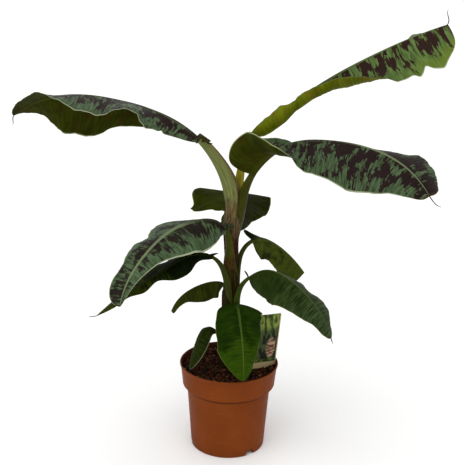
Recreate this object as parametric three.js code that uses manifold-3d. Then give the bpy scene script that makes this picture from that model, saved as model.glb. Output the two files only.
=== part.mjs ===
// A potted banana plant. Its leaf stalks wrap one inside the other into a false stem, and
// every leaf is one stalk that ends where it enters one thin, drooping blade.
// Millimetres, +Z up, +Y away from the front. The origin is the centre of the pot's flat
// underside. The leaves are numbered from the top of the plant down.
import * as THREE from 'three'
import { mergeVertices } from 'three/addons/utils/BufferGeometryUtils.js'
import Module from 'manifold-3d'

const wasm = await Module()
wasm.setup()

// ---------------------------------------------------------------- driving dimensions
const GAP = 0.3                    // clearance between neighbouring solids

const POT = { height: 190, rim: 105, foot: 79, wall: 2.5, floor: 5, corner: 6, segments: 40 }
const BAND = { height: 47, bottom: 98.5, step: 8, neck: 89 }     // the wide band under the rim
const NOTCH = { width: 20, height: 12, depth: 14, first: -52, count: 3 }   // drain notches
const SOIL = { level: 179, lump: 1.8, flat: 32 }               // compost, flat round the stem

const STEM = { top: 542, sides: 12, steps: 14 }
const STEM_RADIUS = [23, 19, 17.5, 17, 15, 14, 15, 16.5, 14]   // from the soil to the fork
const STEM_LEAN = [4, 3, 3, 2, 1, 0, -1, 0, 3]                 // the axis's place along X

const BLADE = { thickness: 2.4, stations: 15, cells: 3, end: 0.988, sweep: 0.15 }
const STALK = { sides: 8, step: 16 }

const LABEL = { width: 65, height: 119, thickness: 0.8, corner: 4, lift: 180.5 }
const LABEL_PLACE = { x: 73.0, y: -7.5, turn: 35, lean: 7.5, stake: 14, buried: 44 }

// Each leaf's midrib leaves its foot in the direction given by pitch (degrees above level)
// and turn (degrees from +X), both listed at equal steps from the foot to the leaf's tip.
// Each half of a blade has a width, and along the blade a slope at the midrib (degrees up
// from the blade's plane) and a curl from there to the margin (up is positive). A lobe
// list widens or narrows the half. outline holds the fullness of the base and of the tip.
const half = (width, slope, curl, lobe = [1]) => ({ width, slope, curl, lobe })
const LEAVES = [
  { foot: [4, -6, 515], stalk: 178, blade: 400, radius: [12, 9], outline: [0.3, 0.6],
    pitch: [94, 62, 42, 20, 11, -10, -41], turn: [155, 183, 185, 181],
    left: half(90, [-35, -38, -18, 10, -2, -6, 14, 29, 34],
      [-20, -20, -20, -20, -20, -15, -5, 0, 0], [0.38, 0.48, 0.66, 0.9, 0.98, 1, 0.95, 1, 1]),
    right: half(100, [-60, -64, -62, -50, -62, -72, -72, -45, -20],
      [-20, -25, -30, -25, -20, -10, 0, 0, 0],
      [0.25, 0.33, 0.4, 0.62, 0.95, 1.03, 1.12, 1, 0.3]) },
  { foot: [9, -5, 534], stalk: 156, blade: 441, radius: [9, 8], outline: [0.3, 0.3],
    pitch: [66, 80, 37, 37, 30, 26, 19], turn: [88, 2, -9, -2], rolled: 0.32, roll: 15,
    left: half(80, [-70, -70, -72, -68, -55, -34, -12, -8, -8],
      [-20, -20, -20, -20, -20, -15, 0, 0, 0], [0.25, 0.3, 0.28, 0.25, 0.38, 0.7, 0.9, 1, 1]),
    right: half(104, [-140, -138, -128, -112, -82, -70, -48, -36, -40],
      [330, 320, 290, 225, 152, 90, 18, -15, -20], [1.5, 1.05, 0.6, 0.56, 0.9, 1, 1, 1.1, 1]) },
  { foot: [11, 1, 510], stalk: 109, blade: 436, radius: [10, 8], outline: [0.2, 0.32],
    pitch: [84, 60, 38, 11, -2, -23, -55], turn: [-50, -37, -33, -34],
    left: half(84, [78, 40, -14, -24, -30, -24, 4, 15, 20],
      [-10, -15, -30, -40, -40, -35, -20, -20, -20],
      [1.1, 0.76, 0.78, 0.95, 1, 1, 1, 1.08, 1.05]),
    right: half(98, [20, 8, -60, -60, -27, -28, -25, -20, -15],
      [20, 95, 140, 45, -40, -40, -35, -30, -20],
      [1, 0.88, 0.84, 0.76, 0.87, 1.05, 1.02, 0.87, 0.6]) },
  { foot: [3, 7, 456], stalk: 116, blade: 245, radius: [8, 6.5], outline: [0.15, 0.5],
    pitch: [68, 68, -4, -34, -39, -46, -46], turn: [78, 90, 88, 90],
    left: half(96, [9, 2, -8, -15, -15], [-5, -20, -30, -30, -30],
      [0.95, 1, 0.97, 1, 0.36, 0.5, 0.62, 0.6, 0.5]),
    right: half(78, [-2, -5, -12, -15, -15], [-10, -20, -30, -30, -30],
      [1, 1, 1, 0.98, 0.85, 0.7, 0.65, 0.6, 0.5]) },
  { foot: [-3, -11, 417], stalk: 80, blade: 332, radius: [9, 6.5], outline: [0.28, 0.6],
    pitch: [99, 64, 8, -10, -35, -44, -55], turn: [-75, -144, -138, -136, -104],
    left: half(74, [-30, -20, -10, -10, -20], [-30],
      [0.5, 0.85, 1, 1, 0.86, 0.62, 0.46, 0.36, 0.3]),
    right: half(80, [-12, -11, -6, 0, -6, 6, 20, 22, 20], [-30, -30, -25, -20, -20],
      [0.8, 1, 1.06, 1.04, 0.72, 0.86, 0.52, 0.8, 1.2]) },
  { foot: [-1, -16, 351], stalk: 102, blade: 278, radius: [5.5, 5], outline: [0.3, 0.8],
    pitch: [84, 62, 13, -23, -25, -30, -29], turn: [-148, -150, -150, -159],
    left: half(38, [-20, -30, -30, -30, -10], [-40, -40, -40, -30, -30],
      [0.5, 0.5, 0.92, 0.86, 0.38, 0.6, 0.3, 0.5, 0.5]),
    right: half(50, [-10, -3, 5, 5, 0], [-30, -30, -20, -20, -20]) },
  { foot: [11, 5, 370], stalk: 101, blade: 173, radius: [6.5, 5], outline: [0.2, 0.25],
    pitch: [83, 72, 20, -20, -38, -48, -55], turn: [55, 44, 27, 20],
    left: half(60, [30, 0, -20, -30, -30], [-30]),
    right: half(50, [-80, -85, -90, -90, -80], [-10], [1, 0.98, 0.82, 0.8, 0.95, 1.15, 1.25]) },
  { foot: [13, -14, 330], stalk: 80, blade: 255, radius: [5.5, 4.5], outline: [0.28, 0.55],
    pitch: [90, 50, 29, -12, -34, -51, -75], turn: [-56, -40, -33, -18],
    left: half(56, [-8, -16, -12, 6, 12], [-30], [1, 1, 1.02, 1.08, 1.1]),
    right: half(58, [-50, -50, -26, -4, 0], [-30, -30, -30, -20, -20],
      [1, 1.1, 1.12, 1.1, 1, 1, 1.05, 1.05, 1]) },
  { foot: [-4, 9, 342], stalk: 23, blade: 173, radius: [6, 5], outline: [0.05, 0.2],
    pitch: [93, 2, -22, -31, -41, -54, -69], turn: [148, 147, 152, 153],
    left: half(44, [-84, -80, -74, -70, -65], [-10],
      [0.84, 0.82, 0.88, 0.76, 0.52, 0.42, 0.46]),
    right: half(28, [-36], [-10], [0.9, 0.96, 0.96, 0.84, 0.6, 0.5, 0.46]) },
  { foot: [7, -15, 308], stalk: 29, blade: 181, radius: [6, 5], outline: [0.12, 0.6],
    pitch: [112, 10, -42, -42, -61, -76, -91], turn: [-72, -78, -80, -73],
    left: half(56, [-6, -8, -10, 0, 0], [-30], [1.1, 1, 1, 0.95, 0.88, 0.86, 0.84, 0.78, 0.7]),
    right: half(62, [6, -6, -10, 0, 0], [-30, -30, -30, -20, -20],
      [0.72, 0.75, 0.85, 0.94, 1.06, 1.1, 1.08, 1, 0.9]) },
  { foot: [-11, -10, 232], stalk: 41, blade: 124, radius: [4.5, 3.5], outline: [0.3, 0.5],
    pitch: [63, 61, 32, -43, -66, -68, -69], turn: [-154, -144, -133, -162],
    left: half(24, [-10, -10, -10, 0, 0], [-30]),
    right: half(13, [-10, -10, -10, 0, 0], [-30, -30, -30, -20, -20]) },
]

// ---------------------------------------------------------------- small helpers
const radians = (degrees) => degrees * Math.PI / 180
const steps = (count) => Array.from({ length: count + 1 }, (_, i) => i / count)

// The value at t (0 to 1) of a list given at equal steps, joined by smooth cubics.
function eased(list, t) {
  const last = list.length - 1
  if (last === 0) return list[0]
  const x = THREE.MathUtils.clamp(t, 0, 1) * last
  const i = Math.min(Math.floor(x), last - 1)
  const slope = (k) => (list[Math.min(k + 1, last)] - list[Math.max(k - 1, 0)])
    / (Math.min(k + 1, last) - Math.max(k - 1, 0))
  const f = x - i
  const f2 = f * f
  const f3 = f2 * f
  return (2 * f3 - 3 * f2 + 1) * list[i] + (f3 - 2 * f2 + f) * slope(i)
    + (3 * f2 - 2 * f3) * list[i + 1] + (f3 - f2) * slope(i + 1)
}

// A closed solid through rings of points. Each ring runs counter-clockwise round the
// direction of travel, and its first and last points face each other across the section.
// Its two sides are cut into triangles alike, so a thin twisted blade never meets itself.
function loft(rings) {
  const n = rings[0].length
  const index = []
  for (let k = 0; k + 1 < rings.length; k += 1) {
    for (let i = 0; i < n; i += 1) {
      const a = k * n + i
      const b = k * n + (i + 1) % n
      if (i < n / 2) index.push(a, b, b + n, a, b + n, a + n)
      else index.push(a, b, a + n, b, b + n, a + n)
    }
  }
  const end = (rings.length - 1) * n
  for (let i = 0; i + 1 < n / 2; i += 1) {
    const j = n - 1 - i
    index.push(end + i, end + i + 1, end + j - 1, end + i, end + j - 1, end + j)
    index.push(i + 1, i, j - 1, j - 1, i, j)
  }
  const geometry = new THREE.BufferGeometry()
  const positions = rings.flat().flatMap((p) => [p.x, p.y, p.z])
  geometry.setAttribute('position', new THREE.Float32BufferAttribute(positions, 3))
  geometry.setIndex(index)
  return geometry
}

// A round ring of points about a centre, in the plane of two unit vectors.
function ring(centre, across, up, radiusAcross, radiusUp, sides) {
  return steps(sides).slice(0, -1).map((t) => {
    const angle = 2 * Math.PI * (t + 0.5 / sides)
    return centre.clone().addScaledVector(across, radiusAcross * Math.cos(angle))
      .addScaledVector(up, radiusUp * Math.sin(angle))
  })
}

function toManifold(geometry) {
  const bare = geometry.clone()
  bare.deleteAttribute('normal')
  bare.deleteAttribute('uv')
  const merged = mergeVertices(bare, 1e-4)
  return new wasm.Manifold(new wasm.Mesh({
    numProp: 3,
    vertProperties: new Float32Array(merged.attributes.position.array),
    triVerts: new Uint32Array(merged.index.array),
  }))
}

function fromManifold(solid) {
  const mesh = solid.getMesh()
  const geometry = new THREE.BufferGeometry()
  geometry.setAttribute('position', new THREE.BufferAttribute(mesh.vertProperties, 3))
  geometry.setIndex(new THREE.BufferAttribute(mesh.triVerts, 1))
  return geometry
}

// A solid with its neighbours cut away, keeping only the largest piece that is left.
function trimmed(geometry, neighbours) {
  let solid = toManifold(geometry)
  for (const other of neighbours) solid = solid.subtract(other)
  const pieces = solid.decompose()
  pieces.sort((a, b) => b.volume() - a.volume())
  return fromManifold(pieces[0])
}

const plant = new THREE.Group()
function addMesh(name, geometry, material) {
  const mesh = new THREE.Mesh(geometry, material)
  mesh.name = name
  plant.add(mesh)
  return mesh
}

// ---------------------------------------------------------------- materials
const finish = (color, roughness) => new THREE.MeshStandardMaterial({ color, roughness })
const terracottaPlastic = finish(0x8a4a20, 0.5)
const compost = finish(0x2a1710, 1)
const card = finish(0x5d7a3a, 0.4)
const stemBark = finish(0x57402c, 0.6)
const stalkGreen = finish(0x6c7a3c, 0.5)
const leafMottled = finish(0x3f5f42, 0.45)
const leafPlain = finish(0x2f5a1e, 0.4)
const leafUnder = finish(0x4a5a18, 0.5)

// ---------------------------------------------------------------- pot
function turned(profile) {
  const points = profile.map(([r, z]) => new THREE.Vector2(r, z))
  return new THREE.LatheGeometry(points, POT.segments).rotateX(Math.PI / 2)
}

// The pot's wall, rim band and floor in one profile, from the axis out and back again.
const bandFoot = POT.height - BAND.height
function potProfile() {
  const { height, rim, foot, wall, floor, corner } = POT
  const outer = steps(4).map((t) => {
    const angle = radians(-90 + 80 * t)
    return [foot - corner + corner * Math.cos(angle), corner + corner * Math.sin(angle)]
  })
  return [
    [0, 0], ...outer,
    [BAND.neck, bandFoot - BAND.step], [BAND.bottom - 1, bandFoot - 1], [BAND.bottom, bandFoot + 1],
    [rim - 0.5, height - 2], [rim, height], [rim - wall, height],
    [BAND.bottom - wall, bandFoot + wall], [BAND.neck - wall, bandFoot - BAND.step + wall],
    [foot - wall, corner + floor], [foot - wall - corner, floor], [0, floor],
  ]
}

// One arched drain notch, cut inwards through the foot of the wall.
function notchGeometry(turn) {
  const { width, height, depth } = NOTCH
  const arch = new THREE.Shape()
  arch.moveTo(-width / 2, -1)
  arch.lineTo(width / 2, -1)
  arch.lineTo(width / 2, height - width / 3)
  arch.absellipse(0, height - width / 3, width / 2, width / 3, 0, Math.PI, false)
  const cutter = new THREE.ExtrudeGeometry(arch, { depth, bevelEnabled: false, curveSegments: 6 })
  cutter.rotateX(Math.PI / 2).rotateZ(Math.PI / 2)
  return cutter.translate(POT.foot - depth + 4, 0, 0).rotateZ(radians(turn))
}

function potGeometry() {
  const turns = steps(NOTCH.count).slice(0, -1).map((t) => NOTCH.first + 360 * t)
  const cutters = turns.map((turn) => toManifold(notchGeometry(turn)))
  return trimmed(turned(potProfile()), cutters)
}
addMesh('pot', potGeometry(), terracottaPlastic)

// ---------------------------------------------------------------- label
// A printed card on a pointed stake that is pushed into the compost.
function labelGeometry(grow) {
  const { width, height, thickness, corner } = LABEL
  const { stake, buried } = LABEL_PLACE
  const w = width / 2
  const s = stake / 2 + grow
  const outline = new THREE.Shape()
  outline.moveTo(0, -buried - grow)
  outline.lineTo(s, -buried + 12)
  outline.lineTo(s, 0)
  outline.lineTo(w - corner, 0)
  outline.absarc(w - corner, corner, corner, -Math.PI / 2, 0, false)
  outline.absarc(w - corner, height - corner, corner, 0, Math.PI / 2, false)
  outline.absarc(corner - w, height - corner, corner, Math.PI / 2, Math.PI, false)
  outline.absarc(corner - w, corner, corner, Math.PI, Math.PI * 1.5, false)
  outline.lineTo(-s, 0)
  outline.lineTo(-s, -buried + 12)
  outline.closePath()
  const depth = thickness + 2 * grow
  const sheet = new THREE.ExtrudeGeometry(outline, { depth, bevelEnabled: false, curveSegments: 3 })
  sheet.translate(0, 0, -depth / 2).rotateX(Math.PI / 2).rotateY(radians(LABEL_PLACE.lean))
  sheet.rotateZ(radians(LABEL_PLACE.turn))
  return sheet.translate(LABEL_PLACE.x, LABEL_PLACE.y, LABEL.lift)
}
addMesh('label', labelGeometry(0), card)

// ---------------------------------------------------------------- compost
// It fills the pot to just under the rim in low lumps, and is level where the stem stands.
function compostGeometry() {
  const inset = POT.wall + GAP
  const bottom = POT.floor + GAP
  const bandWall = (z) => THREE.MathUtils.mapLinear(z, bandFoot, POT.height,
    BAND.bottom, POT.rim) - inset
  const edge = bandWall(SOIL.level) - GAP
  const profile = [
    [0, bottom], [POT.foot - inset - POT.corner - 2, bottom],
    [POT.foot - inset - 0.6, POT.corner + POT.floor + 1],
    [BAND.neck - inset - 0.5, bandFoot - BAND.step + POT.wall + GAP],
    [BAND.bottom - inset - 0.5, bandFoot + POT.wall + 1], [edge, SOIL.level - 3],
    ...[0.86, 0.7, 0.52].map((share) => [edge * share, SOIL.level]),
    [SOIL.flat, SOIL.level], [0, SOIL.level],
  ]
  const heap = turned(profile)
  const place = heap.attributes.position
  for (let i = 0; i < place.count; i += 1) {
    const r = Math.hypot(place.getX(i), place.getY(i))
    const turn = Math.atan2(place.getY(i), place.getX(i))
    if (place.getZ(i) > SOIL.level - 1 && r > SOIL.flat + 1) {
      const wave = Math.sin(3 * turn + r / 9) + 0.7 * Math.cos(5 * turn - r / 13)
      place.setZ(i, SOIL.level + SOIL.lump * wave)
    }
  }
  return trimmed(heap, [toManifold(labelGeometry(GAP))])
}
addMesh('compost', compostGeometry(), compost)

// ---------------------------------------------------------------- false stem
// From its flat foot on the compost, flared, to the fork where the top stalks part.
function stemGeometry(grow) {
  const foot = SOIL.level + GAP
  const across = new THREE.Vector3(1, 0, 0)
  const up = new THREE.Vector3(0, 1, 0)
  return loft(steps(STEM.steps).map((t) => {
    const rise = THREE.MathUtils.lerp(foot - grow, STEM.top + grow, t)
    const radius = eased(STEM_RADIUS, t) + grow
    return ring(new THREE.Vector3(eased(STEM_LEAN, t), 0, rise), across, up,
      radius, radius, STEM.sides)
  }))
}
addMesh('stem', stemGeometry(0), stemBark)

// ---------------------------------------------------------------- leaves
// The midrib as a run of short straight steps, and the leaf's own directions along it.
function midrib(leaf) {
  const count = 96
  const length = (leaf.stalk + leaf.blade) / count
  const points = [new THREE.Vector3(...leaf.foot)]
  for (let i = 0; i < count; i += 1) {
    const { along } = directions(leaf, (i + 0.5) / count)
    points.push(points[i].clone().addScaledVector(along, length))
  }
  return (u) => {
    const x = THREE.MathUtils.clamp(u, 0, 1) * count
    const i = Math.min(Math.floor(x), count - 1)
    return points[i].clone().lerp(points[i + 1], x - i)
  }
}

function directions(leaf, u) {
  const pitch = radians(eased(leaf.pitch, u))
  const turn = radians(eased(leaf.turn, u))
  const level = new THREE.Vector3(Math.cos(turn), Math.sin(turn), 0)
  const along = level.clone().multiplyScalar(Math.cos(pitch)).setZ(Math.sin(pitch))
  const left = new THREE.Vector3(-Math.sin(turn), Math.cos(turn), 0)
  return { along, left, up: along.clone().cross(left) }
}

// A stalk tapers evenly from its foot to the blade, and is a little wider than deep.
function stalkGeometry(leaf, grow) {
  const at = midrib(leaf)
  const total = leaf.stalk + leaf.blade
  const count = Math.max(3, Math.round(leaf.stalk / STALK.step))
  return loft(steps(count).map((t) => {
    const u = (leaf.stalk + grow) * t / total
    const { left, up } = directions(leaf, u)
    const radius = THREE.MathUtils.lerp(leaf.radius[0], leaf.radius[1], t) + grow
    return ring(at(u), left, up, radius, 0.85 * radius, STALK.sides)
  }))
}

// A point of a half blade, at s along the blade and v from the midrib (0) to the margin (1).
function halfPoint(leaf, at, side, s, v) {
  const u = (leaf.stalk + leaf.blade * s) / (leaf.stalk + leaf.blade)
  const { along, left, up } = directions(leaf, u)
  const [base, tip] = leaf.outline
  const fullest = base / (base + tip)
  const shape = (s / fullest) ** base * ((1 - s) / (1 - fullest)) ** tip
  const part = side > 0 ? leaf.left : leaf.right
  const width = part.width * shape * eased(part.lobe, s)
  const slope = radians(eased(part.slope, s))
  const curl = radians(eased(part.curl, s)) || 1e-3
  const out = width * (Math.sin(slope + curl * v) - Math.sin(slope)) / curl
  const rise = width * (Math.cos(slope) - Math.cos(slope + curl * v)) / curl
  return at(u).addScaledVector(left, side * out).addScaledVector(up, rise)
    .addScaledVector(along, BLADE.sweep * width * v * v)
}

// A thin blade of its outline, from one share of its length to the tip. The sections are
// rows of points from the left margin to the right one, thickened along their normals,
// with the rib that carries on from the stalk below the middle.
function bladeGeometry(leaf, from) {
  const at = midrib(leaf)
  const start = from + GAP / leaf.blade
  const count = Math.round(BLADE.stations * Math.sqrt((BLADE.end - from) * leaf.blade / 400))
  const sides = steps(2 * BLADE.cells).map((t) => 2 * t - 1)
  const row = (s) => sides.map((v) => halfPoint(leaf, at, Math.sign(v) || 1, s, Math.abs(v)))
  return loft(steps(count).map((t) => {
    const s = THREE.MathUtils.lerp(start, BLADE.end, t)
    const here = row(s)
    const ahead = row(Math.min(s + 0.004, 0.999))
    const behind = row(Math.max(s - 0.004, 0.001))
    const normals = here.map((_, i) => {
      const across = here[Math.min(i + 1, here.length - 1)].clone()
        .sub(here[Math.max(i - 1, 0)])
      return ahead[i].clone().sub(behind[i]).cross(across).normalize()
    })
    const lift = (sign) => here.map((p, i) => {
      const rib = i === BLADE.cells ? leaf.radius[1] * 0.5 * (1 - s) : 0
      const depth = BLADE.thickness / 2 + (sign < 0 ? rib : 0)
      return p.clone().addScaledVector(normals[i], sign * depth)
    })
    return [...lift(1).reverse(), ...lift(-1)]
  }))
}

// The youngest leaf's lower blade is still rolled up, as one slender tube.
function rolledGeometry(leaf) {
  const at = midrib(leaf)
  const total = leaf.stalk + leaf.blade
  return loft(steps(8).map((t) => {
    const s = THREE.MathUtils.lerp(GAP / leaf.blade, leaf.rolled, t)
    const u = (leaf.stalk + leaf.blade * s) / total
    const { left, up } = directions(leaf, u)
    const radius = leaf.roll * (1 - 0.6 * t)
    const centre = at(u).addScaledVector(left, -0.6 * radius).addScaledVector(up, -0.6 * radius)
    return ring(centre, left, up, radius, radius, 10)
  }))
}

// Top stalks first: each later stalk is cut back where it meets the stem or an earlier one.
const CUT_ORDER = [0, 2, 1, 3, 4, 5, 6, 7, 8, 9, 10]
const grownStem = toManifold(stemGeometry(GAP))
const grownStalks = []
for (const i of CUT_ORDER) {
  const stalk = trimmed(stalkGeometry(LEAVES[i], 0), [grownStem, ...grownStalks])
  addMesh(`stalk_${i + 1}`, stalk, stalkGreen)
  grownStalks.push(toManifold(stalkGeometry(LEAVES[i], GAP)))
}

const bladeFinish = [leafMottled, leafMottled, leafMottled, leafUnder, leafMottled, leafPlain,
  leafPlain, leafPlain, leafUnder, leafPlain, leafPlain]
LEAVES.forEach((leaf, i) => {
  const opening = leaf.rolled ?? 0
  if (leaf.rolled) addMesh(`roll_${i + 1}`, trimmed(rolledGeometry(leaf), grownStalks), leafUnder)
  const blade = trimmed(bladeGeometry(leaf, opening), [grownStem, ...grownStalks])
  addMesh(`blade_${i + 1}`, blade, bladeFinish[i])
})

export default plant
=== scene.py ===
"""A potted banana plant with a sheathed false stem, arching leaf stalks and broad drooping blades.

Metres, +Z up, +Y away from the front. The origin is the centre of the pot's flat underside, and
the leaves are numbered from the top of the plant down.
"""

import math

import bpy
import numpy as np
from mathutils import Matrix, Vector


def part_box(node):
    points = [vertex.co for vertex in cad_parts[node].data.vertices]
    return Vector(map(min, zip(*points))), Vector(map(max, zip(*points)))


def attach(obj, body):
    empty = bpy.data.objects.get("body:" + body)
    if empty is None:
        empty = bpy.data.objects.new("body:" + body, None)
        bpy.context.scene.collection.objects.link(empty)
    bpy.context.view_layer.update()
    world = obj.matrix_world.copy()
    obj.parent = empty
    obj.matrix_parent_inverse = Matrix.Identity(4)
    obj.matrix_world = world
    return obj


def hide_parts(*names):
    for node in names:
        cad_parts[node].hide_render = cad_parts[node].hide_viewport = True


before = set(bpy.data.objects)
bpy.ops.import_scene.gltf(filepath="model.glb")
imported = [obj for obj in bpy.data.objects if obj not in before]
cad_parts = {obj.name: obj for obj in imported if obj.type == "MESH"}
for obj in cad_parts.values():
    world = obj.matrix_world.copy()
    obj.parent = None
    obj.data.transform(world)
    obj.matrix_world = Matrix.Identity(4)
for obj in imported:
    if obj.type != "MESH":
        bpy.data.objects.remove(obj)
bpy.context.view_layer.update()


# ---------------------------------------------------------------- the pot
# A thin-walled grower's pot of brown-orange plastic, injection moulded in one piece: a tapered
# wall, a wide band under a rolled rim, and arched drain notches cut through the foot.

POT_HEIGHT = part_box("pot")[1].z
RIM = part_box("pot")[1].x
FOOT = 0.079
WALL = 0.0025
BAND = {"height": 0.047, "bottom": 0.0985, "step": 0.008, "neck": 0.089}
BAND_FOOT = POT_HEIGHT - BAND["height"]
NECK_TOP = BAND_FOOT - BAND["step"]
# the raised floor's two sides and its smallest ring, and the foot ring it stands on
FLOOR = {"under": 0.0115, "top": 0.014, "hub": 0.0005, "slope": 0.002}
FOOT_RING = {"width": 0.0050, "bevel": 0.0058, "notched": 0.0065, "outside": 0.0035}
NOTCH = {"width": 0.020, "height": 0.012, "first": -52, "count": 3}


def eased(values, share):
    """The value at share (0 to 1) of a list given at equal steps, joined by smooth cubics."""
    values = np.atleast_1d(np.asarray(values, float))
    if len(values) == 1:
        return np.full(np.shape(share), values[0])
    slopes = np.gradient(values)
    place = np.clip(share, 0, 1) * (len(values) - 1)
    step = np.minimum(place.astype(int), len(values) - 2)
    t = place - step
    rise = 3 * t**2 - 2 * t**3
    lean = slopes[step] * (t**3 - 2 * t**2 + t) + slopes[step + 1] * (t**3 - t**2)
    return (1 - rise) * values[step] + rise * values[step + 1] + lean


def smooth(value, low, high):
    """0 below low, 1 above high, and an even S between them."""
    t = np.clip((value - low) / (high - low), 0, 1)
    return t * t * (3 - 2 * t)


def placed(name, content):
    """A mesh, light or camera as an object in the scene."""
    thing = bpy.data.objects.new(name, content)
    bpy.context.scene.collection.objects.link(thing)
    return thing


def wrapped(name, rings, finishes, finish_of=None, **attributes):
    """A closed skin through rings of points: neighbouring rings are joined by four-sided faces, and
    the first and the last ring are closed by a fan to their own middle.

    rings is (rings, points, 3). finish_of gives each place round the ring its finish. Attributes are
    arrays of (rings, points) or (rings, points, 3), and are kept on the points of the mesh.
    """
    count, around = rings.shape[:2]
    k, i = np.meshgrid(np.arange(count - 1), np.arange(around), indexing="ij")
    here, after = k * around + i, k * around + (i + 1) % around
    sides = np.stack([here, after, after + around, here + around], -1).reshape(-1, 4)
    ends = np.stack([rings[0].mean(0), rings[-1].mean(0)])
    points = np.vstack([rings.reshape(-1, 3), ends])
    a = np.arange(around)
    b = (a + 1) % around
    first, last = count * around, (count - 1) * around
    fans = np.vstack([
        np.stack([b, a, np.full(around, first)], -1),
        np.stack([last + a, last + b, np.full(around, first + 1)], -1),
    ])
    # the volume by the divergence rule says which way the faces point
    p, q, r, s = (points[sides[:, n]] for n in range(4))
    volume = np.einsum("ij,ij->", p, np.cross(q, r)) + np.einsum("ij,ij->", p, np.cross(r, s))
    if volume < 0:
        sides, fans = sides[:, ::-1], fans[:, ::-1]
    mesh = bpy.data.meshes.new(name)
    corners = np.concatenate([sides.ravel(), fans.ravel()]).astype(np.int32)
    sizes = np.concatenate([np.full(len(sides), 4), np.full(len(fans), 3)]).astype(np.int32)
    mesh.vertices.add(len(points))
    mesh.vertices.foreach_set("co", points.astype(np.float32).ravel())
    mesh.loops.add(len(corners))
    mesh.loops.foreach_set("vertex_index", corners)
    mesh.polygons.add(len(sizes))
    mesh.polygons.foreach_set("loop_start", np.cumsum(sizes).astype(np.int32) - sizes)
    mesh.polygons.foreach_set("use_smooth", np.ones(len(sizes), bool))
    for finish in np.atleast_1d(finishes):
        mesh.materials.append(finish)
    if finish_of is not None:
        dealt = np.concatenate([np.tile(finish_of, count - 1), np.tile(finish_of, 2)])
        mesh.polygons.foreach_set("material_index", dealt.astype(np.int32))
    for key, value in attributes.items():
        size = 3 if value.ndim == 3 else 1
        kept = np.vstack([value.reshape(-1, size), value[[0, -1]].reshape(2, around, size).mean(1)])
        kind, field = ("FLOAT_VECTOR", "vector") if size == 3 else ("FLOAT", "value")
        layer = mesh.attributes.new(key, kind, "POINT")
        layer.data.foreach_set(field, kept.astype(np.float32).ravel())
    mesh.update(calc_edges=True)
    mesh.validate()
    return placed(name, mesh)


def tint(red, green, blue):
    """A colour given on the usual screen scale, 0 to 255, as the shader's light values."""
    shares = np.array([red, green, blue]) / 255
    light = np.where(shares <= 0.04045, shares / 12.92, ((shares + 0.055) / 1.055) ** 2.4)
    return (*light, 1.0)


class Finish:
    """A material laid out one node at a time. Each call adds a node and returns its output."""

    def __init__(self, name, **sockets):
        self.material = bpy.data.materials.new(name)
        self.material.use_nodes = True
        self.nodes = self.material.node_tree.nodes
        self.links = self.material.node_tree.links
        self.shader = self.nodes["Principled BSDF"]
        for key, value in sockets.items():
            self.shader.inputs[key.replace("_", " ")].default_value = value

    def add(self, kind, inputs, output=0, **settings):
        """A node of a kind. Its inputs are given by place or name, as outputs or values."""
        node = self.nodes.new("ShaderNode" + kind)
        for key, value in settings.items():
            setattr(node, key, value)
        for key, value in inputs.items():
            if isinstance(value, bpy.types.NodeSocket):
                self.links.new(value, node.inputs[key])
            else:
                node.inputs[key].default_value = value
        return node.outputs[output]

    def place(self):
        """Metres in the shared frame."""
        return self.add("TexCoord", {}, "Object")

    def attribute(self, name, output="Vector"):
        return self.add("Attribute", {}, output, attribute_name=name)

    def part(self, vector, axis):
        return self.add("SeparateXYZ", {0: vector}, axis)

    def noise(self, vector, scale, detail=3.0, roughness=0.55, turn=0.0):
        """Cloudy noise. Three scales draw it out, after a turn in radians about its own Z."""
        if isinstance(scale, tuple):
            stretch = {"Vector": vector, "Scale": scale, "Rotation": (0, 0, turn)}
            vector, scale = self.add("Mapping", stretch), 1.0
        inputs = {"Vector": vector, "Scale": scale, "Detail": detail, "Roughness": roughness}
        return self.add("TexNoise", inputs, "Fac")

    def math(self, operation, a, b=0.0):
        return self.add("Math", {0: a, 1: b}, operation=operation)

    def times(self, a, b):
        return self.math("MULTIPLY", a, b)

    def plus(self, a, b):
        return self.math("ADD", a, b)

    def between(self, value, low, high, start=0.0, end=1.0):
        """start where value is at or before low, end at or past high, and an even S between."""
        inputs = {"Value": value, "From Min": low, "From Max": high, "To Min": start, "To Max": end}
        return self.add("MapRange", inputs, interpolation_type="SMOOTHSTEP")

    def mix(self, share, a, b):
        """Two colours mixed, each an output or three screen levels."""
        a, b = (c if isinstance(c, bpy.types.NodeSocket) else tint(*c) for c in (a, b))
        return self.add("Mix", {0: share, 6: a, 7: b}, 2, data_type="RGBA")

    def coat(self, base, colour, value, low, high, most=1.0):
        """A colour laid over base, from none at low to most of it at high."""
        return self.mix(self.between(value, low, high, 0.0, most), base, colour)

    def colour(self, socket):
        self.links.new(socket, self.shader.inputs["Base Color"])

    def roughness(self, socket):
        self.links.new(socket, self.shader.inputs["Roughness"])

    def bump(self, height, depth, strength):
        """Relief from a height of 0 to 1, depth in metres."""
        inputs = {"Height": height, "Distance": depth, "Strength": strength}
        self.links.new(self.add("Bump", inputs), self.shader.inputs["Normal"])


def arc(centre, radius, start, end, count):
    """Points of a round corner, from one angle to another, in degrees."""
    angle = np.radians(np.linspace(start, end, count))
    return np.stack([centre[0] + radius * np.cos(angle), centre[1] + radius * np.sin(angle)], 1)


def evenly(corners, spacing):
    """A profile with points put in along its straight runs, no further apart than spacing."""
    corners = np.asarray(corners, float)
    runs = np.linalg.norm(np.diff(corners, axis=0), axis=1)
    counts = np.maximum(np.ceil(runs / spacing).astype(int), 1)
    pieces = [np.linspace(a, b, n, endpoint=False)
              for a, b, n in zip(corners[:-1], corners[1:], counts)]
    return np.vstack([*pieces, corners[-1:]])


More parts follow.
